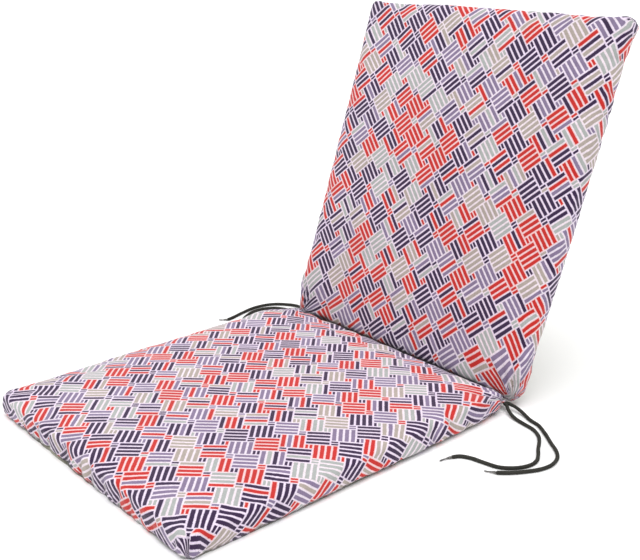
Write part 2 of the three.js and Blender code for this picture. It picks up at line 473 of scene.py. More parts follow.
def scaled(tree, vector, factor):
    made = tree.nodes.new("ShaderNodeVectorMath")
    made.operation = "SCALE"
    feed(tree, made.inputs["Vector"], vector)
    feed(tree, made.inputs["Scale"], factor)
    return made.outputs["Vector"]


def mixed(tree, kind, factor, first, second):
    """A mix of two colours (RGBA) or two numbers (FLOAT), each with its own sockets on the node."""
    made = tree.nodes.new("ShaderNodeMix")
    made.data_type = kind
    at, out = (6, 2) if kind == "RGBA" else (2, 0)
    feed(tree, made.inputs["Factor"], factor)
    feed(tree, made.inputs[at], first)
    feed(tree, made.inputs[at + 1], second)
    return made.outputs[out]


def mixed_colour(tree, factor, first, second):
    return mixed(tree, "RGBA", factor, first, second)


def mixed_number(tree, factor, first, second):
    return mixed(tree, "FLOAT", factor, first, second)


def ranged(tree, value, low, high, to_low=0.0, to_high=1.0, smooth=False):
    made = tree.nodes.new("ShaderNodeMapRange")
    made.interpolation_type = "SMOOTHSTEP" if smooth else "LINEAR"
    for socket, number in zip(made.inputs, (value, low, high, to_low, to_high)):
        feed(tree, socket, number)
    return made.outputs[0]


def bumped(tree, shader, height, strength, distance):
    """Low relief of the finish, as a bump on the shader's normal."""
    bump = tree.nodes.new("ShaderNodeBump")
    bump.inputs["Strength"].default_value = strength
    bump.inputs["Distance"].default_value = distance
    tree.links.new(height, bump.inputs["Height"])
    tree.links.new(bump.outputs[0], shader.inputs["Normal"])


def rotated(tree, vector, angle):
    made = tree.nodes.new("ShaderNodeVectorRotate")
    made.rotation_type = "Z_AXIS"
    feed(tree, made.inputs["Vector"], vector)
    feed(tree, made.inputs["Angle"], angle)
    return made.outputs["Vector"]


def split(tree, vector):
    made = tree.nodes.new("ShaderNodeSeparateXYZ")
    tree.links.new(vector, made.inputs[0])
    return made.outputs[0], made.outputs[1], made.outputs[2]


def rgba(colour):
    return (*colour, 1.0)


def new_group(name, inputs, outputs):
    """A shader node group with its sockets. Gives the tree, the values given to it and those wanted of it."""
    tree = bpy.data.node_groups.new(name, "ShaderNodeTree")
    for label, kind, default in inputs:
        socket = tree.interface.new_socket(label, in_out="INPUT", socket_type=kind)
        if default is not None:
            socket.default_value = default
    for label, kind in outputs:
        tree.interface.new_socket(label, in_out="OUTPUT", socket_type=kind)
    given = tree.nodes.new("NodeGroupInput").outputs
    wanted = tree.nodes.new("NodeGroupOutput").inputs
    return tree, given, wanted


def placed_group(tree, group, **values):
    made = tree.nodes.new("ShaderNodeGroup")
    made.node_tree = group
    for label, value in values.items():
        feed(tree, made.inputs[label.replace("_", " ")], value)
    return made.outputs


COLOUR = "NodeSocketColor"
NUMBER = "NodeSocketFloat"
VECTOR = "NodeSocketVector"


# A large block of the print is this many units wide, and the small block beside it is one unit wide.
BLOCK_UNITS = 3.0
BARS_IN_BLOCK = 4.0
BARS_IN_SMALL = 2.0

# How far from a bar's middle its ink ends: sideways, as a share of the bars' spacing, and lengthways, as a
# share of the block's side. A small block's bars are shorter. The halo is the ink that has bled past a bar.
BAR_SIDE = (0.35, 0.29)
BAR_END = (0.475, 0.455)
SMALL_BAR_SHORTER = 0.06
HALO_SIDE = (0.50, 0.42)
INK_ROUGHNESS_SCALE = 1100.0
INK_ROUGHNESS = 0.0012

# Above this draw a bar has its own colour, and below it that of its block.
OWN_COLOUR = 0.66
# Where each colour's share of the draws ends.
SHARES = (("Red", 0.27), ("Indigo", 0.61), ("Lavender", 0.79), ("Beige", 0.88), ("Stone", 1.0))
HALOS = {"Red": (0.84, 0.52, 0.52), "Indigo": (0.74, 0.63, 0.80), "Lavender": (0.77, 0.69, 0.80)}


def block_print():
    """Large and small square blocks in pinwheel tiling, each filled with straight printed bars.

    A large block's first corner is always (3, 1) or (-1, 3) units from another's, so column - 3 * row,
    counted round by tens, tells each unit square's place in its block: 0 to 2 are a large block's first row,
    3 is a small block, 4 to 6 are the large block's third row and 7 to 9 its second.
    """
    group = bpy.data.node_groups.get("Block print")
    if group:
        return group
    group, given, wanted = new_group(
        "Block print",
        (
            ("Cloth", VECTOR, None),
            ("Block", NUMBER, 0.03),
            ("Slant", NUMBER, 0.785),
            *((name, COLOUR, None) for name, _ in SHARES),
            ("Paper", COLOUR, None),
        ),
        (("Colour", COLOUR), ("Ink", NUMBER)),
    )
    rough_edge = node(group, "ShaderNodeTexNoise", given["Cloth"], None, INK_ROUGHNESS_SCALE, 1.0, out=1)
    rough_edge = scaled(group, vector_maths(group, "SUBTRACT", rough_edge, (0.5, 0.5, 0.5)), INK_ROUGHNESS)
    printed_on = vector_maths(group, "ADD", given["Cloth"], rough_edge)
    turned = rotated(group, printed_on, given["Slant"])
    units = scaled(group, turned, maths(group, "DIVIDE", BLOCK_UNITS, given["Block"]))
    across, along, _ = split(group, units)
    column = maths(group, "FLOOR", across)
    row = maths(group, "FLOOR", along)

    # Which of the ten unit squares of a large and a small block this is, and the block's first corner.
    turn_count = maths(group, "SUBTRACT", column, maths(group, "MULTIPLY", row, BLOCK_UNITS))
    place = maths(group, "FLOORED_MODULO", maths(group, "ADD", turn_count, 0.5), 10.0)
    past_small = maths(group, "GREATER_THAN", place, 4.0)
    past_third = maths(group, "GREATER_THAN", place, 7.0)
    is_small = maths(group, "SUBTRACT", maths(group, "GREATER_THAN", place, 3.0), past_small)
    up = maths(group, "SUBTRACT", maths(group, "MULTIPLY", past_small, 2.0), past_third)
    third_passed = maths(group, "MULTIPLY", past_third, 3.0)
    passed = maths(group, "ADD", maths(group, "MULTIPLY", past_small, 4.0), third_passed)
    passed = maths(group, "ADD", passed, maths(group, "MULTIPLY", is_small, 3.0))
    right = maths(group, "SUBTRACT", maths(group, "FLOOR", place), passed)
    first_column = maths(group, "SUBTRACT", column, right)
    first_row = maths(group, "SUBTRACT", row, up)
    side = mixed_number(group, is_small, BLOCK_UNITS, 1.0)
    in_x = maths(group, "DIVIDE", maths(group, "SUBTRACT", across, first_column), side)
    in_y = maths(group, "DIVIDE", maths(group, "SUBTRACT", along, first_row), side)

    # The bars turn from each large block to the next.
    diagonal = maths(group, "MULTIPLY_ADD", first_row, 0.2, maths(group, "MULTIPLY", first_column, 0.1))
    turn = maths(group, "FRACT", maths(group, "ADD", diagonal, 0.25))
    turn = maths(group, "GREATER_THAN", turn, 0.5)
    over = mixed_number(group, turn, in_x, in_y)
    down = mixed_number(group, turn, in_y, in_x)
    bars_here = mixed_number(group, is_small, BARS_IN_BLOCK, BARS_IN_SMALL)
    counted = maths(group, "MULTIPLY", over, bars_here)
    bar = maths(group, "FLOOR", counted)
    off_centre = maths(group, "ABSOLUTE", maths(group, "SUBTRACT", maths(group, "FRACT", counted), 0.5))
    off_end = maths(group, "ABSOLUTE", maths(group, "SUBTRACT", down, 0.5))
    side_ink = ranged(group, off_centre, *BAR_SIDE)
    shorter = maths(group, "MULTIPLY", is_small, SMALL_BAR_SHORTER)
    end_ink = ranged(group, maths(group, "ADD", off_end, shorter), *BAR_END)
    ink = maths(group, "MULTIPLY", side_ink, end_ink)

    block_place = node(group, "ShaderNodeCombineXYZ", first_column, first_row, 3.0)
    bar_place = node(group, "ShaderNodeCombineXYZ", first_column, first_row, maths(group, "ADD", bar, 11.0))
    block_draw = node(group, "ShaderNodeTexWhiteNoise", block_place, noise_dimensions="3D")
    bar_draw = node(group, "ShaderNodeTexWhiteNoise", bar_place, noise_dimensions="3D")
    own_place = vector_maths(group, "ADD", bar_place, (5.0, 9.0, 31.0))
    own_draw = node(group, "ShaderNodeTexWhiteNoise", own_place, noise_dimensions="3D")
    is_own = maths(group, "GREATER_THAN", bar_draw, OWN_COLOUR)
    draw = mixed_number(group, is_own, block_draw, own_draw)

    bar_colour = given["Red"]
    halo = rgba(HALOS["Red"])
    for (_, ends), (name, _) in zip(SHARES, SHARES[1:]):
        past = maths(group, "GREATER_THAN", draw, ends)
        bar_colour = mixed_colour(group, past, bar_colour, given[name])
        halo = mixed_colour(group, past, halo, rgba(HALOS[name]) if name in HALOS else given["Paper"])
    bare = mixed_colour(group, ranged(group, off_centre, *HALO_SIDE), given["Paper"], halo)
    colour = mixed_colour(group, ink, bare, bar_colour)
    group.links.new(colour, wanted["Colour"])
    group.links.new(ink, wanted["Ink"])
    return group


def plain_weave():
    """Threads over and under each other. Height is 0 to 1, and Tint varies from thread to thread."""
    group = bpy.data.node_groups.get("Plain weave")
    if group:
        return group
    group, given, wanted = new_group(
        "Plain weave",
        (("Cloth", VECTOR, None), ("Thread", NUMBER, 0.0008)),
        (("Height", NUMBER), ("Tint", NUMBER)),
    )
    threads = scaled(group, given["Cloth"], maths(group, "DIVIDE", 1.0, given["Thread"]))
    across, along, _ = split(group, threads)
    warp_count = maths(group, "FLOOR", across)
    weft_count = maths(group, "FLOOR", along)
    warp = maths(group, "SINE", maths(group, "MULTIPLY", maths(group, "FRACT", across), math.pi))
    weft = maths(group, "SINE", maths(group, "MULTIPLY", maths(group, "FRACT", along), math.pi))
    both = maths(group, "MULTIPLY", maths(group, "ADD", warp_count, weft_count), 0.5)
    over = maths(group, "GREATER_THAN", maths(group, "FRACT", both), 0.25)
    height = mixed_number(group, over, warp, weft)
    warp_draw = node(group, "ShaderNodeTexWhiteNoise", None, warp_count, noise_dimensions="1D")
    weft_draw = node(group, "ShaderNodeTexWhiteNoise", None, weft_count, noise_dimensions="1D")
    tint = mixed_number(group, over, warp_draw, weft_draw)
    group.links.new(height, wanted["Height"])
    group.links.new(tint, wanted["Tint"])
    return group


def new_material(name):
    material = bpy.data.materials.new(name)
    material.use_nodes = True
    tree = material.node_tree
    return material, tree, tree.nodes["Principled BSDF"]


def reverse_slubs(tree, cloth):
    """Where threads of the unprinted cloth run thicker and paler, 0 to 1: streaks across and along."""
    streaks = []
    for stretch in ((900.0, 45.0, 1.0), (45.0, 900.0, 1.0)):
        stretched = vector_maths(tree, "MULTIPLY", cloth, stretch)
        noise = node(tree, "ShaderNodeTexNoise", stretched, None, 1.0, 1.0)
        streaks.append(ranged(tree, noise, 0.52, 0.74))
    return maths(tree, "MAXIMUM", *streaks)


def canvas_material():
    """Printed canvas above the lower seam, and the plain reverse below it."""
    material, tree, shader = new_material("Printed canvas")
    values = settings().canvas
    cloth = node(tree, "ShaderNodeUVMap", uv_map=CLOTH_MAP)
    reverse_cloth = node(tree, "ShaderNodeUVMap", uv_map=REVERSE_MAP)
    below = node(tree, "ShaderNodeAttribute", attribute_name=BELOW_SEAM, out=2)
    printed = placed_group(
        tree,
        block_print(),
        Cloth=cloth,
        Block=values.block,
        Slant=values.slant,
        Red=rgba(values.red),
        Indigo=rgba(values.indigo),
        Lavender=rgba(values.lavender),
        Beige=rgba(values.beige),
        Stone=rgba(values.stone),
        Paper=rgba(values.paper),
    )
    weave = placed_group(tree, plain_weave(), Cloth=cloth, Thread=values.thread)
    reverse_weave = placed_group(tree, plain_weave(), Cloth=reverse_cloth, Thread=values.thread)
    is_reverse = ranged(tree, below, -0.0001, 0.0001)
    height = mixed_number(tree, is_reverse, weave["Height"], reverse_weave["Height"])
    tint = mixed_number(tree, is_reverse, weave["Tint"], reverse_weave["Tint"])

    place = node(tree, "ShaderNodeTexCoord", out=3)
    fading = node(tree, "ShaderNodeTexNoise", place, None, 22.0, 3.0)
    fine = node(tree, "ShaderNodeTexNoise", place, None, 420.0, 2.0)
    slubs = reverse_slubs(tree, reverse_cloth)
    plain = mixed_colour(tree, slubs, rgba(values.reverse), rgba(values.reverse_slub))
    cloth_colour = mixed_colour(tree, is_reverse, printed["Colour"], plain)
    thread_shade = ranged(tree, tint, 0.0, 1.0, 0.90, 1.08)
    soft_shade = ranged(tree, fading, 0.3, 0.7, 0.95, 1.04)
    grain_shade = ranged(tree, fine, 0.3, 0.7, 0.95, 1.05)
    shade = maths(tree, "MULTIPLY", maths(tree, "MULTIPLY", thread_shade, soft_shade), grain_shade)
    shaded = scaled(tree, cloth_colour, shade)
    seam_line = ranged(tree, maths(tree, "ABSOLUTE", below), 0.0005, 0.0013, 0.42, 1.0, smooth=True)
    # Painted shade: the canvas colour is darkened, down to a tenth, in the fold between the panels and in the
    # puckers' valleys.
    painted_shade = node(tree, "ShaderNodeAttribute", attribute_name=PAINTED_SHADE, out=2)
    fold_shade = ranged(tree, painted_shade, 0.0, 1.0, 1.0, 0.10)
    seam_line_and_painted_shade = maths(tree, "MULTIPLY", seam_line, fold_shade)
    tree.links.new(scaled(tree, shaded, seam_line_and_painted_shade), shader.inputs["Base Color"])
    rough = ranged(tree, printed["Ink"], 0.0, 1.0, 0.9, 0.8)
    tree.links.new(rough, shader.inputs["Roughness"])
    surface = maths(tree, "ADD", height, maths(tree, "MULTIPLY", fine, 0.6))
    bumped(tree, shader, surface, 0.5, 0.00018)
    shader.inputs["Specular IOR Level"].default_value = 0.25
    shader.inputs["Sheen Weight"].default_value = 0.26
    shader.inputs["Sheen Roughness"].default_value = 0.45
    return material


def braid_material():
    """Braided synthetic cord: the raised threads are painted paler as a highlight, and the gaps between
    strands stay darker as painted shade.
    """
    material, tree, shader = new_material("Braided cord")
    values = settings().cord
    relief = node(tree, "ShaderNodeAttribute", attribute_name=RELIEF, out=2)
    place = node(tree, "ShaderNodeTexCoord", out=3)
    fibres = node(tree, "ShaderNodeTexNoise", place, None, 2600.0, 2.0)
    # Painted highlight and shade: the colour goes paler on the strands' crowns and stays dark in the gaps,
    # unevenly along the cord.
    uneven_highlight = node(tree, "ShaderNodeTexNoise", place, None, 60.0, 2.0)
    raised = maths(tree, "MULTIPLY", relief, ranged(tree, uneven_highlight, 0.3, 0.7, 0.7, 1.0))
    base = mixed_colour(tree, raised, rgba(values.dark), rgba(values.raised_thread_highlight))
    shade = ranged(tree, fibres, 0.3, 0.7, 0.75, 1.25)
    tree.links.new(scaled(tree, base, shade), shader.inputs["Base Color"])
    tree.links.new(ranged(tree, fibres, 0.3, 0.7, 0.72, 0.88), shader.inputs["Roughness"])
    bumped(tree, shader, fibres, 0.4, 0.0001)
    shader.inputs["Specular IOR Level"].default_value = 0.2
    return material


def sealed_end_material():
    """The braid's end, melted together and drawn thin."""
    material, tree, shader = new_material("Sealed cord end")
    place = node(tree, "ShaderNodeTexCoord", out=3)
    patches = node(tree, "ShaderNodeTexNoise", place, None, 420.0, 3.0)
    mask = ranged(tree, patches, 0.42, 0.6, smooth=True)
    base = mixed_colour(tree, mask, (0.03, 0.03, 0.027, 1.0), (0.19, 0.185, 0.175, 1.0))
    tree.links.new(base, shader.inputs["Base Color"])
    tree.links.new(ranged(tree, patches, 0.3, 0.7, 0.35, 0.6), shader.inputs["Roughness"])
    bumped(tree, shader, patches, 0.5, 0.0002)
    return material


def thread_material():
    """Pale sewing thread with a slight twist."""
    material, tree, shader = new_material("Sewing thread")
    place = node(tree, "ShaderNodeTexCoord", out=3)
    twist = node(tree, "ShaderNodeTexNoise", place, None, 1800.0, 2.0)
    base = mixed_colour(tree, twist, (0.42, 0.38, 0.42, 1.0), (0.66, 0.62, 0.64, 1.0))
    tree.links.new(base, shader.inputs["Base Color"])
    shader.inputs["Roughness"].default_value = 0.6
    return material


# Meshes

def coordinates(mesh):
    flat = np.empty(len(mesh.vertices) * 3)
    mesh.vertices.foreach_get("co", flat)
    return flat.reshape(-1, 3)


def normals(mesh):
    flat = np.empty(len(mesh.vertices) * 3)
    mesh.vertex_normals.foreach_get("vector", flat)
    return flat.reshape(-1, 3)


def move_to(mesh, places):
    mesh.vertices.foreach_set("co", np.ascontiguousarray(places).ravel())
    mesh.update()


def keep_vectors(mesh, name, values):
    layer = mesh.attributes.get(name) or mesh.attributes.new(name, "FLOAT_VECTOR", "POINT")
    layer.data.foreach_set("vector", np.ascontiguousarray(values).ravel())


def read_vectors(mesh, name):
    flat = np.empty(len(mesh.vertices) * 3)
    mesh.attributes[name].data.foreach_get("vector", flat)
    return flat.reshape(-1, 3)


def keep_numbers(mesh, name, values):
    layer = mesh.attributes.get(name) or mesh.attributes.new(name, "FLOAT", "POINT")
    layer.data.foreach_set("value", np.ascontiguousarray(values))


def keep_map(mesh, name, places):
    """A UV map from one 2-D place for each vertex."""
    corners = np.empty(len(mesh.loops), dtype=np.int32)
    mesh.loops.foreach_get("vertex_index", corners)
    layer = mesh.uv_layers.get(name) or mesh.uv_layers.new(name=name)
    layer.uv.foreach_set("vector", np.ascontiguousarray(places[corners]).ravel())


def deselect_all():
    if bpy.context.object and bpy.context.object.mode != "OBJECT":
        bpy.ops.object.mode_set(mode="OBJECT")
    bpy.ops.object.select_all(action="DESELECT")


def only(piece):
    deselect_all()
    piece.select_set(True)
    bpy.context.view_layer.objects.active = piece


def apply_modifiers(piece):
    only(piece)
    for modifier in list(piece.modifiers):
        bpy.ops.object.modifier_apply(modifier=modifier.name)


def new_piece(name, mesh):
    piece = bpy.data.objects.new(name, mesh)
    bpy.context.scene.collection.objects.link(piece)
    return piece


def mesh_from_rings(name, rings):
    """A closed tube through rings of points, with a middle point at each end."""
    count, sides = rings.shape[:2]
    points = rings.reshape(-1, 3).tolist()
    faces = []
    for ring in range(count - 1):
        here = ring * sides
        for side in range(sides):
            after = (side + 1) % sides
            faces.append((here + side, here + sides + side, here + sides + after, here + after))
    for ring, forward in ((0, True), (count - 1, False)):
        middle = len(points)
        points.append(rings[ring].mean(axis=0).tolist())
        for side in range(sides):
            pair = (ring * sides + side, ring * sides + (side + 1) % sides)
            faces.append((*pair, middle) if forward else (*reversed(pair), middle))
    mesh = bpy.data.meshes.new(name)
    mesh.from_pydata(points, [], faces)
    mesh.update()
    return mesh


def finished(piece, material, slot, *nodes):
    """The piece takes its material, rides on the body, and stands for these CAD nodes."""
    piece.data.materials.clear()
    piece.data.materials.append(material)
    only(piece)
    bpy.ops.object.shade_smooth()
    if nodes:
        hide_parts(*nodes)
    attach(piece, BODY)
    return piece


# The cloth of a padded panel

def smooth_step(low, high, value):
    share = np.clip((value - low) / (high - low), 0.0, 1.0)
    return share * share * (3.0 - 2.0 * share)


def blend(first, second, share):
    return first + (second - first) * share


def bell(distance, width):
    return np.exp(-((distance / width) ** 2))


def half_width(panel, along):
    share = along / panel.length
    straight = blend(panel.sewn_half_width, panel.free_half_width, share)
    return straight + panel.side_bulge * (1.0 - (2.0 * share - 1.0) ** 2)


def edge_places(panel, x, along):
    """How far inside the outline each point is, and the way out to it.

    Also gives its share of the sewn edge's rounding, and how much it belongs to an end and not to a side.
    """
    side = np.where(x < 0, -1.0, 1.0)
    width = half_width(panel, along)
    free_end = panel.length + panel.free_bulge * (1.0 - (x / panel.free_half_width) ** 2)
    near_free = along > panel.length / 2
    radius = np.where(near_free, panel.free_corner, panel.sewn_corner)
    past_side = np.abs(x) - (width - radius)
    past_end = np.where(near_free, along - (free_end - radius), radius - along)
    corner = (past_side > 0) & (past_end > 0)
    reach = np.maximum(np.hypot(past_side, past_end), 1e-9)
    to_side = radius - past_side
    to_end = radius - past_end
    inside = np.where(corner, radius - reach, np.minimum(to_side, to_end))
    towards_side = np.where(corner, past_side / reach, np.where(to_side < to_end, 1.0, 0.0))
    towards_end = np.where(corner, past_end / reach, np.where(to_side < to_end, 0.0, 1.0))
    out_x = side * towards_side
    out_y = towards_end * np.where(near_free, 1.0, -1.0)
    sewn_end = panel.sewn_half_width - panel.sewn_corner
    sewn = smooth_step(0.0, SEWN_FADE, sewn_end - np.abs(x)) * np.where(near_free, 0.0, towards_end)
    endwise = smooth_step(-CORNER_BLEND, CORNER_BLEND, past_end - past_side)
    return inside, out_x, out_y, sewn, endwise


def unfolded(panel, rest, inside, out_x, out_y, sewn, above):
    """Where each point lies on the flat cloth that wraps over the panel's top, or round its reverse.

    Also gives the length of cloth from the start of the edge's rounding, less than 0 on the flat face.
    """
    x, along, height = rest.T
    run = blend(EDGE_RUN, panel.sewn_top_run if above else panel.sewn_under_run, sewn)
    squareness = blend(EDGE_SQUARENESS, SEWN_SQUARENESS, sewn)
    middle = blend(panel.middle_height, panel.sewn_height, sewn)
    face = panel.thickness if above else 0.0
    rise = face - middle
    up = np.clip((height - middle) / rise, -1.0, 1.0)
    flat_share = np.clip(1.0 - inside / run, 0.0, 1.0)
    sine = np.sign(up) * np.abs(up) ** (squareness / 2)
    cosine = flat_share ** (squareness / 2)
    turn = np.arctan2(sine, cosine)
    length = np.zeros(len(x))
    before = None
    for step in range(EDGE_STEPS + 1):
        angle = blend(math.pi / 2, turn, step / EDGE_STEPS)
        point_in = run * (1.0 - np.abs(np.cos(angle)) ** (2 / squareness))
        point_up = rise * np.sign(np.sin(angle)) * np.abs(np.sin(angle)) ** (2 / squareness)
        if before is not None:
            length += np.hypot(point_in - before[0], point_up - before[1])
        before = (point_in, point_up)
    on_face = inside >= run
    length = np.where(on_face, run - inside, length)
    inwards = np.where(on_face, 0.0, run - inside)
    travel = np.where(on_face, 0.0, length)
    # Round a corner the cloth runs straight down both sides and meets in a narrow mitre.
    to_side = out_x ** 4 / (out_x ** 4 + out_y ** 4)
    cloth_x = x - out_x * inwards + np.sign(out_x) * to_side * travel
    cloth_y = along - out_y * inwards + np.sign(out_y) * (1.0 - to_side) * travel
    return np.column_stack((cloth_x, cloth_y)), length


def scallops(place, pitch, phase):
    """Round bulges with narrow valleys at an uneven pitch: 1 on a bulge and 0 in a valley.

    Also gives how far the cloth slides along the edge, as it gathers in the valleys.
    """
    uneven = place + 0.20 * pitch * np.sin(place / (0.55 * pitch) + phase)
    uneven = uneven + 0.35 * pitch * np.sin(place / (1.7 * pitch) + 2.3 * phase + 0.7)
    wave = math.pi * uneven / pitch
    bulge = np.abs(np.cos(wave)) ** 0.8
    strength = 0.62 + 0.38 * np.sin(place / (2.3 * pitch) + 1.9 * phase + 0.4)
    slide = -15 / 64 * np.sin(2 * wave) + 3 / 64 * np.sin(4 * wave) - 1 / 192 * np.sin(6 * wave)
    return 1.0 - (1.0 - bulge) * strength, slide * strength * pitch / math.pi


def soft_waves(x, along, phase):
    """Slow unevenness of the filling, about -1 to 1."""
    return sum(
        weight * np.sin(across_rate * x + along_rate * along + share * phase + own)
        for across_rate, along_rate, share, own, weight in SOFT_WAVES
    )


def with_its_outline(panel, places, rest):
    """Moves the sides and the free end, which the filling has drawn in, back out to the panel's outline."""
    x, along, _ = rest.T
    side = np.where(x < 0, -1.0, 1.0)
    to_side = half_width(panel, along) - np.abs(x)
    to_end = panel.length - along
    drawn_in = rest - places
    clear_of_corners = (to_end > OUTLINE_REACH) & (along > OUTLINE_REACH)
    at_side = (to_side < OUTLINE_BAND) & clear_of_corners
    at_end = (to_end < OUTLINE_BAND) & (to_side > OUTLINE_REACH)
    side_loss = (drawn_in[:, 0] * side)[at_side].mean() - OUTLINE_SLACK
    end_loss = drawn_in[:, 1][at_end].mean() - OUTLINE_SLACK
    off_sewn_edge = smooth_step(0.0, OUTLINE_REACH, along)
    places[:, 0] += side * side_loss * smooth_step(OUTLINE_REACH, 0.0, to_side) * off_sewn_edge
    places[:, 1] += end_loss * smooth_step(OUTLINE_REACH, 0.0, to_end)
    return places


class PanelCloth:
    """The cloth of one panel, point by point, worked out from where each point lay before the filling."""

    def __init__(self, panel, rest):
        self.panel = panel
        self.x, self.along, self.height = rest.T
        edges = edge_places(panel, self.x, self.along)
        self.inside, self.out_x, self.out_y, self.sewn, endwise = edges
        self.flat, self.down = unfolded(panel, rest, *edges[:4], above=True)
        self.flat_reverse, _ = unfolded(panel, rest, *edges[:4], above=False)
        self.is_free = self.along > panel.length / 2
        self.sidewise = 1.0 - endwise
        self.free_end = endwise * self.is_free
        self.sewn_end = endwise * ~self.is_free
        self.find_seam()
        self.find_puckers()
        self.find_corners()
        self.find_fan()

    def find_seam(self):
        """How far each point lies below the seam where the print meets the reverse."""
        wave = SEAM_WAVE * np.sin(self.x / 0.013 + self.along / 0.011 + self.panel.phase)
        rise = SEAM_RISE * bell(self.x - SEAM_RISE_X, SEAM_RISE_WIDTH) * self.out_y * self.is_free
        height = blend(SEAM_HEIGHT + rise, self.panel.sewn_height - SEAM_UNDER_FOLD, self.sewn) + wave
        self.below = height - self.height
        self.on_print = self.below < 0

    def find_puckers(self):
        """The bulges and valleys of each kind of pucker, and how strongly that kind shows at each point."""
        phase = self.panel.phase
        self.side_bulges, self.side_gather = scallops(self.along, SIDE_PITCH, phase + 1.0 + np.sign(self.x))
        self.free_bulges, self.free_gather = scallops(self.x, FREE_PITCH, phase + 0.5)
        self.sewn_bulges, self.sewn_gather = scallops(self.x, SEWN_PITCH, phase + 3.1)
        place_round = self.x * np.abs(self.out_y) + self.along * np.abs(self.out_x)
        self.fine_bulges, self.fine_gather = scallops(place_round, FINE_PITCH, phase + 5.0)

        # Those of the free edges are deepest at the seam, and gone a little way onto the face and under.
        onto_face = smooth_step(*PUCKER_ON_FACE, self.down)
        self.reach = np.where(self.on_print, onto_face, bell(self.inside, PUCKER_UNDER))
        # Those beside the fold line run further onto the faces.
        beside_fold = smooth_step(*SEWN_ON_FACE, self.down) * self.sewn_end
        beside_fold = np.where(self.on_print, beside_fold, bell(self.along, SEWN_UNDER))
        self.sewn_reach = beside_fold * (self.inside < SEWN_WITHIN) * ~self.is_free
        # The fine ones keep close to the seam.
        self.at_wall = bell(np.minimum(self.inside, WALL_IN), WALL_FADE)
        seam_width = blend(FINE_ON_SIDES, FINE_ON_END, self.free_end)
        self.seam_reach = bell(self.below, seam_width) * self.at_wall * (1.0 - self.sewn)

    def find_corners(self):
        """Which points lie in a free corner, and how far round the corner each is from its diagonal."""
        turn = np.arctan2(np.abs(self.out_y), np.abs(self.out_x)) - math.pi / 4
        self.from_mitre = turn * self.panel.free_corner
        self.in_corner = (np.abs(self.out_x) > 0.02) & (np.abs(self.out_y) > 0.02) & self.is_free

    def find_fan(self):
        """The folds that fan out from where the ties leave the fold."""
        exit_x = np.where(self.x < 0, -TIE_EXIT_X, TIE_EXIT_X)
        self.exit_place = np.column_stack((exit_x, np.zeros(len(exit_x))))
        self.to_exit = np.column_stack((exit_x - self.x, -self.along, self.panel.sewn_height - self.height))
        self.from_exit = np.linalg.norm(self.to_exit, axis=1)
        fan = np.arctan2(self.along + 0.004, np.abs(self.x - exit_x) + 1e-6)
        uneven = 0.6 + 0.9 * np.sin(3.0 * fan + self.panel.phase)
        self.fan_folds = np.abs(np.cos(FAN_FOLDS * fan + uneven)) ** 0.7
        starts = smooth_step(*FAN_STARTS, self.from_exit)
        self.fan_reach = starts * bell(np.maximum(self.from_exit - FAN_FADES_FROM, 0.0), FAN_FADE)

    def sink(self):
        """How far the cloth sinks in the puckers, the seam's groove, the darts and the fan of folds."""
        panel = self.panel
        sink = self.reach * panel.side_pucker * self.sidewise * (1.0 - self.side_bulges)
        sink += self.reach * panel.free_pucker * self.free_end * (1.0 - self.free_bulges)
        sink += panel.sewn_pucker * (1.0 - self.sewn_bulges) * self.sewn_reach
        sink += FINE_PUCKER * (1.0 - self.fine_bulges) * self.seam_reach
        sink += SEAM_GROOVE * bell(self.below, SEAM_GROOVE_WIDTH) * self.at_wall
        dart = bell(self.from_mitre, DART_WIDTH) * smooth_step(*DART_STARTS, self.down) * self.on_print
        sink += np.where(self.in_corner, DART_DEPTH * dart, 0.0)
        return sink + FAN_DEPTH * (1.0 - self.fan_folds) * self.fan_reach

    def pushed(self):
        """How far the cloth is pushed out: at the fold, where the fillings press, and at the free corners."""
        panel = self.panel
        at_fold = bell(np.minimum(self.inside, FOLD_WALL_IN), FOLD_WALL_FADE) * self.sewn_end
        press = panel.fold_press * bell(self.height - FOLD_PRESS_HEIGHT, FOLD_PRESS_WIDTH) * at_fold
        point = np.where(self.in_corner, panel.corner_point * bell(self.from_mitre, POINT_WIDTH), 0.0)
        outwards = press + point * smooth_step(*POINT_REACH, self.inside)
        full = panel.fold_fullness * bell(self.inside - WALL_IN, WALL_FADE)
        upwards = full * self.sewn_end * self.on_print
        return np.column_stack((self.out_x * outwards, self.out_y * outwards, upwards))

    def dressed(self, places, outward):
        """Where the filled panel's points go, given their places and the directions that they face."""
        firm = FIRM_BEND * bell(self.down - FIRM_AT, FIRM_WIDTH) * (1.0 - self.sewn) * self.on_print
        lift = UNEVENNESS * soft_waves(self.x, self.along, self.panel.phase) + firm - self.sink()
        pull = sum(share * bell(self.from_exit, within) for share, within in PULLS)
        moved = places + outward * lift[:, None] + self.to_exit * pull[:, None] + self.pushed()
        if self.panel.rests:
            moved[:, 2] = np.where(self.height < RESTING, 0.0, np.maximum(moved[:, 2], 0.0))
        return moved

    def printed_places(self):
        """The cloth map: the flat cloth, gathered in the valleys and pinched where the ties leave."""
        across = WIDE_GATHER * self.reach * self.free_end * self.free_gather
        across += FINE_END_GATHER * self.seam_reach * self.free_end * self.fine_gather
        across += SEWN_GATHER * self.sewn_reach * self.sewn_gather
        lengthways = WIDE_GATHER * self.reach * self.sidewise * self.side_gather
        lengthways += FINE_SIDE_GATHER * self.seam_reach * self.sidewise * self.fine_gather
        gathered = self.flat + np.column_stack((across, lengthways))
        pinch = PINCH / (1.0 + (self.from_exit / PINCH_REACH) ** 2)
        pinch *= smooth_step(*PINCH_FADE, self.from_exit)
        return (gathered + (gathered - self.exit_place) * pinch[:, None]) * self.panel.print_sign

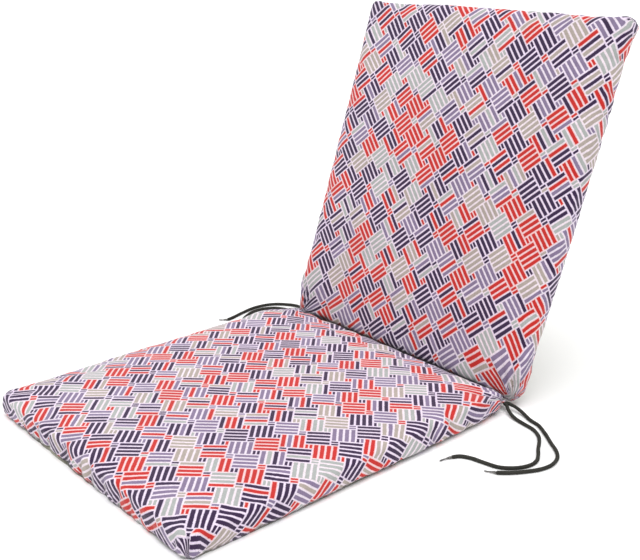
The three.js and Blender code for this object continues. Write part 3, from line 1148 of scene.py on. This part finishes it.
    def shade(self):
        """Painted shade, 0 to 1: how deep in the fold or in a valley the cloth lies, where light doesn't
        reach.
        """
        sewn_scallop, fine_scallop = SHADE_SCALLOPS
        scalloped = sewn_scallop * (1.0 - self.sewn_bulges) + fine_scallop * (1.0 - self.fine_bulges)
        past_edge = np.maximum(self.inside - self.panel.shade_reach - scalloped, 0.0)
        fold = bell(past_edge, SHADE_EDGE) * self.sewn_end * self.on_print
        fold *= 1.0 - 0.75 * bell(self.from_exit, 0.026)
        fold = np.maximum(fold, EXIT_SHADE * bell(self.from_exit, EXIT_SHADE_REACH))
        valleys = self.reach * self.free_end * (1.0 - self.free_bulges) ** 2
        valleys += FINE_SHADE * self.seam_reach * self.on_print * (1.0 - self.fine_bulges) ** 2
        valleys += SIDE_SHADE * self.reach * self.sidewise * (1.0 - self.side_bulges) ** 2
        valleys += FAN_SHADE * self.fan_reach * (1.0 - self.fan_folds) ** 2
        dart = DART_SHADE * bell(self.from_mitre, DART_SHADE_WIDTH) * smooth_step(0.0, 0.010, self.down)
        valleys += np.where(self.in_corner, dart, 0.0)
        return np.clip(np.maximum(fold, VALLEY_SHADE * valleys), 0.0, 1.0)


def dress_panel(panel, mesh):
    """Puckers, darts and gathers for the filled panel, and the maps and numbers that its material reads."""
    rest = read_vectors(mesh, REST)
    cloth = PanelCloth(panel, rest)
    places = with_its_outline(panel, coordinates(mesh), rest)
    move_to(mesh, cloth.dressed(places, normals(mesh)))
    keep_map(mesh, CLOTH_MAP, cloth.printed_places())
    keep_map(mesh, REVERSE_MAP, cloth.flat_reverse)
    keep_numbers(mesh, BELOW_SEAM, cloth.below)
    # The painted shade, by which the material darkens the canvas colour.
    keep_numbers(mesh, PAINTED_SHADE, cloth.shade())
    mesh.attributes.remove(mesh.attributes[REST])


def remeshed_panel(panel):
    """The CAD panel's own shape in its flat frame, in even faces, a little smaller than it will be."""
    padding = settings().padding
    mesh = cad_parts[panel.node].data.copy()
    mesh.name = panel.name
    mesh.transform(panel.place.inverted())
    piece = new_piece(panel.name, mesh)
    only(piece)
    bpy.ops.object.mode_set(mode="EDIT")
    bpy.ops.mesh.select_all(action="SELECT")
    bpy.ops.mesh.remove_doubles(threshold=1e-5)
    bpy.ops.object.mode_set(mode="OBJECT")
    remesh = piece.modifiers.new("Even faces", "REMESH")
    remesh.mode = "VOXEL"
    remesh.voxel_size = padding.voxel
    apply_modifiers(piece)
    return piece


def even_outline(filled, rest):
    """Stretches the filled panel evenly, so that its sewn outline keeps its length and width."""
    for axis in (0, 1):
        filled[:, axis] *= (filled[:, axis] * rest[:, axis]).sum() / (filled[:, axis] ** 2).sum()
    return filled


def fill_panel(panel, piece):
    """Pressure pushes the cloth out from a slightly smaller shape. How far it may go is capped."""
    padding = settings().padding
    mesh = piece.data
    rest = coordinates(mesh)
    keep_vectors(mesh, REST, rest)
    start = rest - normals(mesh) * padding.slack
    if panel.rests:
        start[:, 2] = np.where(rest[:, 2] < 0.002, rest[:, 2], start[:, 2])
    move_to(mesh, start)
    held = piece.vertex_groups.new(name="sewn")
    still = (rest[:, 1] < HELD_SEWN) | ((rest[:, 2] < HELD_RESTING) & panel.rests)
    held.add(np.flatnonzero(still).tolist(), 1.0, "REPLACE")
    cloth = piece.modifiers.new("Filling", "CLOTH")
    cloth.settings.quality = 5
    cloth.settings.mass = 0.25
    cloth.settings.tension_stiffness = 20
    cloth.settings.compression_stiffness = 20
    cloth.settings.shear_stiffness = 8
    cloth.settings.bending_stiffness = 1.5
    cloth.settings.use_pressure = True
    cloth.settings.uniform_pressure_force = padding.pressure
    cloth.settings.effector_weights.gravity = 0
    cloth.settings.vertex_group_mass = held.name
    cloth.collision_settings.use_collision = False
    for step in range(1, padding.frames + 1):
        bpy.context.scene.frame_set(step)
    swollen = piece.evaluated_get(bpy.context.evaluated_depsgraph_get())
    pushed = even_outline(coordinates(swollen.data).copy(), rest) - start
    piece.modifiers.clear()
    bpy.context.scene.frame_set(1)
    far = np.maximum(np.linalg.norm(pushed, axis=1), 1e-9)
    capped = padding.swell * np.tanh(far / padding.swell)
    move_to(mesh, start + pushed * (capped / far)[:, None])


def make_panel(panel, material):
    piece = remeshed_panel(panel)
    fill_panel(panel, piece)
    piece.vertex_groups.clear()
    finer = piece.modifiers.new("Finer", "SUBSURF")
    finer.levels = 1
    finer.render_levels = 1
    apply_modifiers(piece)
    dress_panel(panel, piece.data)
    piece.data.transform(panel.place)
    piece.data.update()
    finished(piece, material, CANVAS_SLOT, panel.node)


# The ties

def through(points, per_span=24):
    """A smooth curve through the points, as many short straight steps."""
    points = np.array(points, dtype=float)
    ends = np.vstack((2 * points[0] - points[1], points, 2 * points[-1] - points[-2]))
    curve = []
    for before, start, end, after in zip(ends, ends[1:], ends[2:], ends[3:]):
        gaps = [np.linalg.norm(b - a) ** 0.5 for a, b in ((before, start), (start, end), (end, after))]
        leave = (start - before) / gaps[0] - (end - before) / (gaps[0] + gaps[1]) + (end - start) / gaps[1]
        arrive = (end - start) / gaps[1] - (after - start) / (gaps[1] + gaps[2]) + (after - end) / gaps[2]
        leave = leave * gaps[1]
        arrive = arrive * gaps[1]
        for step in range(per_span):
            t = step / per_span
            cubic = 2 * start - 2 * end + leave + arrive
            square = -3 * start + 3 * end - 2 * leave - arrive
            curve.append(start + leave * t + square * t ** 2 + cubic * t ** 3)
    curve.append(points[-1])
    return np.array(curve)


def evenly(curve, step):
    """The curve in even steps, and its length."""
    spans = np.linalg.norm(np.diff(curve, axis=0), axis=1)
    travelled = np.concatenate(([0.0], np.cumsum(spans)))
    count = int(round(travelled[-1] / step)) + 1
    wanted = np.linspace(0.0, travelled[-1], count)
    even = np.column_stack([np.interp(wanted, travelled, curve[:, axis]) for axis in range(3)])
    return even, travelled[-1]


def around(sides):
    """The angles of a ring's points."""
    return np.arange(sides) * 2 * math.pi / sides


def ring_frames(centres):
    """Two directions square to the path at each point, carried along without twist."""
    heading = np.gradient(centres, axis=0)
    heading /= np.linalg.norm(heading, axis=1)[:, None]
    up = np.array((0.0, 0.0, 1.0))
    across = np.empty_like(centres)
    for index, forward in enumerate(heading):
        sideways = np.cross(forward, up)
        across[index] = sideways / np.linalg.norm(sideways)
    return across, np.cross(across, heading)


def tie_place(point):
    """A place of the TIES table in the row frame, in metres."""
    return np.array(point) / 1000.0 + (0.0, FOLD_Y, 0.0)


def tube(name, path, angle, radius):
    """A closed tube round the path, pressed flat where it meets the surface."""
    across, upward = ring_frames(path)
    rings = (
        path[:, None, :]
        + across[:, None, :] * (radius * np.cos(angle))[:, :, None]
        + upward[:, None, :] * (radius * np.sin(angle))[:, :, None]
    )
    rings[:, :, 2] = np.maximum(rings[:, :, 2], 0.0)
    return new_piece(name, mesh_from_rings(name, rings))


def braided_tie(name, tie, material):
    """One braided cord, with the path down its middle and its length."""
    values = settings().cord
    centres, length = evenly(through(tie_place(tie["route"])), BRAID_STEP)
    angle = around(values.strands * POINTS_PER_STRAND)
    travelled = np.linspace(0.0, length, len(centres))[:, None]
    wind = 2 * math.pi * travelled / STRAND_REPEAT
    relief = np.maximum(np.cos(values.strands * angle + wind), np.cos(values.strands * angle - wind))
    from_end = np.minimum(travelled, length - travelled + 0.0006)
    closing = np.sqrt(np.clip(from_end / CUT_ROUNDING, 0.12, 1.0))
    uneven = 1.0 + CORD_UNEVENNESS * np.sin(travelled / 0.0047 + 1.0) * np.sin(travelled / 0.0113)
    radius = values.radius * closing * uneven * (1.0 + STRAND_RELIEF * relief)
    piece = tube(f"tie_{name}", centres, angle, radius)
    keep_numbers(piece.data, RELIEF, np.concatenate((0.5 + 0.5 * relief.ravel(), (0.0, 0.0))))
    finished(piece, material, CORD_SLOT, f"tie_cord_{name}")
    return piece, centres, length


def sealed_end(name, tie, centres, material):
    """The braid's last stretch, drawn out to a thin uneven tail."""
    heading = centres[-1] - centres[-4]
    heading /= np.linalg.norm(heading)
    end = tie_place(tie["tip"])
    start = centres[-1] - heading * END_INSIDE
    bend = (start + end) / 2 + heading * END_BEND
    path, _ = evenly(through((start, bend, end), 16), END_STEP)
    angle = around(END_SIDES)
    travelled = np.linspace(0.0, 1.0, len(path))[:, None]
    body = blend(END_RADIUS, END_TIP_RADIUS, smooth_step(0.05, 0.6, travelled))
    closing = np.sqrt(np.clip((1.0 - travelled) / 0.05, 0.05, 1.0))
    ridges = 1.0 + 0.10 * np.cos(3 * angle + 9.0 * travelled) + 0.07 * np.sin(40.0 * travelled + angle)
    piece = tube(f"tie_end_{name}", path, angle, body * closing * ridges)
    return finished(piece, material, CORD_END_SLOT, f"tie_tip_{name}")


# Operators

class CUSHION_OT_stage(bpy.types.Operator):
    """Pale floor, soft studio light and the camera"""

    bl_idname = "cushion.stage"
    bl_label = "Stage"

    def execute(self, context):
        values = settings().stage
        scene = context.scene
        deselect_all()
        bpy.ops.mesh.primitive_plane_add(size=FLOOR_SIZE, location=(0, 0, 0))
        floor = context.object
        floor.name = "studio_floor"
        material, tree, shader = new_material("Studio floor")
        shader.inputs["Base Color"].default_value = (0.96, 0.96, 0.96, 1.0)
        shader.inputs["Roughness"].default_value = 0.9
        shader.inputs["Specular IOR Level"].default_value = 0.0
        floor.data.materials.append(material)

        world = bpy.data.worlds.new("Studio")
        world.use_nodes = True
        scene.world = world
        background = world.node_tree.nodes["Background"]
        background.inputs["Color"].default_value = (1.0, 1.0, 1.0, 1.0)
        seen = world.node_tree.nodes.new("ShaderNodeLightPath").outputs["Is Camera Ray"]
        strength = ranged(world.node_tree, seen, 0.0, 1.0, values.sky, 1.0)
        world.node_tree.links.new(strength, background.inputs["Strength"])
        bpy.ops.object.light_add(type="SUN", location=KEY_FROM)
        key = context.object
        key.name = "Key"
        key.data.energy = values.key
        key.data.angle = values.softness
        key.rotation_mode = "QUATERNION"
        key.rotation_quaternion = (-key.location).to_track_quat("-Z", "Y")
        scene.view_settings.view_transform = "Standard"

        bpy.ops.object.camera_add(location=CAMERA_PLACE)
        camera = context.object
        camera.name = "studio_camera"
        camera.rotation_mode = "QUATERNION"
        camera.rotation_quaternion = (CAMERA_TARGET - CAMERA_PLACE).to_track_quat("-Z", "Y")
        camera.data.sensor_width = SENSOR_WIDTH
        camera.data.lens = values.lens
        camera.data.shift_y = values.shift
        scene.camera = camera
        return {"FINISHED"}


class CUSHION_OT_ties(bpy.types.Operator):
    """Four braided ties with their sealed ends"""

    bl_idname = "cushion.ties"
    bl_label = "Ties"

    def execute(self, context):
        braid = braid_material()
        sealed = sealed_end_material()
        for name, tie in TIES.items():
            cord, centres, length = braided_tie(name, tie, braid)
            end = sealed_end(name, tie, centres, sealed)
        return {"FINISHED"}


class CUSHION_OT_panels(bpy.types.Operator):
    """The filled seat and back in printed canvas"""

    bl_idname = "cushion.panels"
    bl_label = "Filled panels"

    def execute(self, context):
        material = canvas_material()
        for panel in (SEAT, BACK):
            make_panel(panel, material)
        return {"FINISHED"}


class CUSHION_OT_fold_strip(bpy.types.Operator):
    """The stitched strip of doubled canvas across the fold"""

    bl_idname = "cushion.fold_strip"
    bl_label = "Sewn strip"

    def execute(self, context):
        low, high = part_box("hinge_web")
        centre = (low + high) / 2
        size = high - low
        deselect_all()
        bpy.ops.mesh.primitive_cube_add(size=1.0, location=centre)
        strip = context.object
        strip.name = "fold_strip"
        strip.scale = size
        bpy.ops.object.transform_apply(location=True, rotation=True, scale=True)
        bpy.ops.object.mode_set(mode="EDIT")
        bpy.ops.mesh.select_all(action="SELECT")
        bpy.ops.mesh.bisect(plane_co=centre, plane_no=(0, 0, 1))
        for cut in range(1, STRIP_ROWS):
            bpy.ops.mesh.select_all(action="SELECT")
            bpy.ops.mesh.bisect(plane_co=(0, low.y + size.y * cut / STRIP_ROWS, 0), plane_no=(0, 1, 0))
        for cut in range(1, STRIP_STATIONS):
            bpy.ops.mesh.select_all(action="SELECT")
            bpy.ops.mesh.bisect(plane_co=(low.x + size.x * cut / STRIP_STATIONS, 0, 0), plane_no=(1, 0, 0))
        bpy.ops.object.mode_set(mode="OBJECT")
        self.pucker(strip.data, centre, size)
        rounding = strip.modifiers.new("Rounding", "SUBSURF")
        rounding.levels = 1
        rounding.render_levels = 1
        apply_modifiers(strip)
        self.map_cloth(strip.data)
        finished(strip, bpy.data.materials["Printed canvas"], CANVAS_SLOT, "hinge_web")
        self.stitches(low, high)
        return {"FINISHED"}

    def pucker(self, mesh, centre, size):
        """Thins the strip along its sewn middle, and makes its edges wavy."""
        places = coordinates(mesh)
        x = places[:, 0]
        off_middle = (places[:, 1] - centre.y) / (size.y / 2)
        above = np.sign(places[:, 2] - centre.z)
        wave = np.sin(x / 0.0021) * 0.5 + np.sin(x / 0.0057 + 1.0) * 0.5
        places[:, 2] -= above * STRIP_THINNING * bell(off_middle, 0.35)
        places[:, 2] += STRIP_WAVE * wave * (1.0 - bell(off_middle, 0.5))
        move_to(mesh, places)

    def map_cloth(self, mesh):
        """The strip's cloth maps, printed above and plain below."""
        places = coordinates(mesh)
        flat = np.column_stack((places[:, 0], places[:, 1] - FOLD_Y))
        keep_map(mesh, CLOTH_MAP, flat)
        keep_map(mesh, REVERSE_MAP, flat)
        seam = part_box("hinge_web")[0].z + SEAM_HEIGHT
        keep_numbers(mesh, BELOW_SEAM, seam - places[:, 2])

    def stitches(self, low, high):
        """Short thread stitches along the middle of the strip, on its top."""
        deselect_all()
        bpy.ops.mesh.primitive_cylinder_add(
            vertices=8, radius=STITCH_RADIUS, depth=STITCH_LENGTH, end_fill_type="NGON"
        )
        first = bpy.context.object
        bevel = first.modifiers.new("Round ends", "BEVEL")
        bevel.width = STITCH_ROUNDING
        bevel.segments = 2
        bevel.limit_method = "ANGLE"
        bevel.angle_limit = math.radians(60)
        first.rotation_euler = (0, math.pi / 2, 0)
        bpy.ops.object.transform_apply(location=True, rotation=True, scale=True)
        apply_modifiers(first)
        count = int((high.x - low.x) / STITCH_PITCH)
        made = []
        for index in range(count):
            x = low.x + (index + 0.5) * (high.x - low.x) / count
            mesh = first.data.copy()
            mesh.transform(Matrix.Translation((x, (low.y + high.y) / 2, high.z - STITCH_SINK)))
            made.append(new_piece("stitch", mesh))
        bpy.data.objects.remove(first)
        deselect_all()
        for piece in made:
            piece.select_set(True)
        bpy.context.view_layer.objects.active = made[0]
        bpy.ops.object.join()
        stitches = bpy.context.object
        stitches.name = "fold_stitches"
        finished(stitches, thread_material(), CANVAS_SLOT)


class CUSHION_PT_panel(bpy.types.Panel):
    """Lists what makes the cushion"""

    bl_idname = "CUSHION_PT_panel"
    bl_label = "Chair cushion"
    bl_space_type = "VIEW_3D"
    bl_region_type = "UI"
    bl_category = "Cushion"

    def draw(self, context):
        values = settings()
        for group in (values.canvas, values.padding, values.cord, values.stage):
            box = self.layout.box()
            for name in group.bl_rna.properties.keys():
                if name not in ("rna_type", "name"):
                    box.prop(group, name)
        for operator in OPERATORS:
            self.layout.operator(operator.bl_idname)


SETTINGS = (PrintSettings, PaddingSettings, CordSettings, StageSettings, CushionSettings)
OPERATORS = (CUSHION_OT_stage, CUSHION_OT_ties, CUSHION_OT_panels, CUSHION_OT_fold_strip)
CLASSES = (*SETTINGS, *OPERATORS, CUSHION_PT_panel)


def register():
    for cls in CLASSES:
        bpy.utils.register_class(cls)
    bpy.types.Scene.chair_cushion = PointerProperty(type=CushionSettings)


def unregister():
    del bpy.types.Scene.chair_cushion
    for cls in reversed(CLASSES):
        bpy.utils.unregister_class(cls)


def main():
    register()
    bpy.ops.cushion.stage()
    bpy.ops.cushion.ties()
    bpy.ops.cushion.panels()
    bpy.ops.cushion.fold_strip()


if __name__ == "__main__":
    main()
